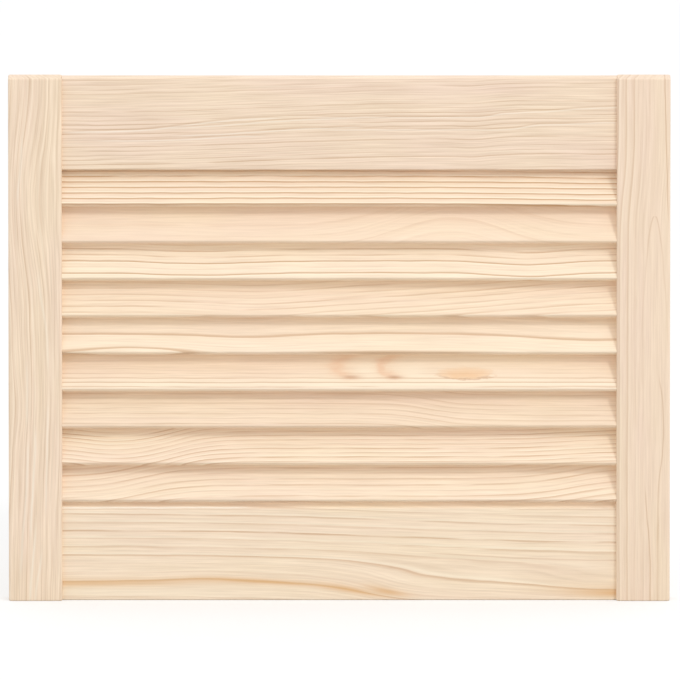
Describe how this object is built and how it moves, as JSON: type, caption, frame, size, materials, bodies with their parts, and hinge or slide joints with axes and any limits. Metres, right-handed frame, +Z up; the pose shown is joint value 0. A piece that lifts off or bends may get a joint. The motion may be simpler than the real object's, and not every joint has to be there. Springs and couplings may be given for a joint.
{
  "type": "louvred cabinet door",
  "caption": "Small louvred cabinet door in pale pine: proud stiles and recessed rails hold a row of leaning, round-edged slats that screen a cupboard and let it breathe.",
  "frame": {"origin": "centre of the left stile's outer edge face, where the hinges are screwed on", "axes": "+X across the door to the free edge, +Z up, the louvred front faces -Y"},
  "size_m": [0.494, 0.021, 0.395],
  "materials": {
    "pine_frame": "matte",
    "pine_slats": "matte",
    "beech_dowels": "matte"
  },
  "bodies": {
    "root": {"left_stile": "pine_frame", "right_stile": "pine_frame", "top_rail": "pine_frame", "bottom_rail": "pine_frame", "slat_01": "pine_slats", "slat_02": "pine_slats", "slat_03": "pine_slats", "slat_04": "pine_slats", "slat_05": "pine_slats", "slat_06": "pine_slats", "slat_07": "pine_slats", "slat_08": "pine_slats", "slat_09": "pine_slats", "dowel_top_left_upper": "beech_dowels", "dowel_top_left_lower": "beech_dowels", "dowel_top_right_upper": "beech_dowels", "dowel_top_right_lower": "beech_dowels", "dowel_bottom_left_upper": "beech_dowels", "dowel_bottom_left_lower": "beech_dowels", "dowel_bottom_right_upper": "beech_dowels", "dowel_bottom_right_lower": "beech_dowels"}
  },
  "joints": []
}
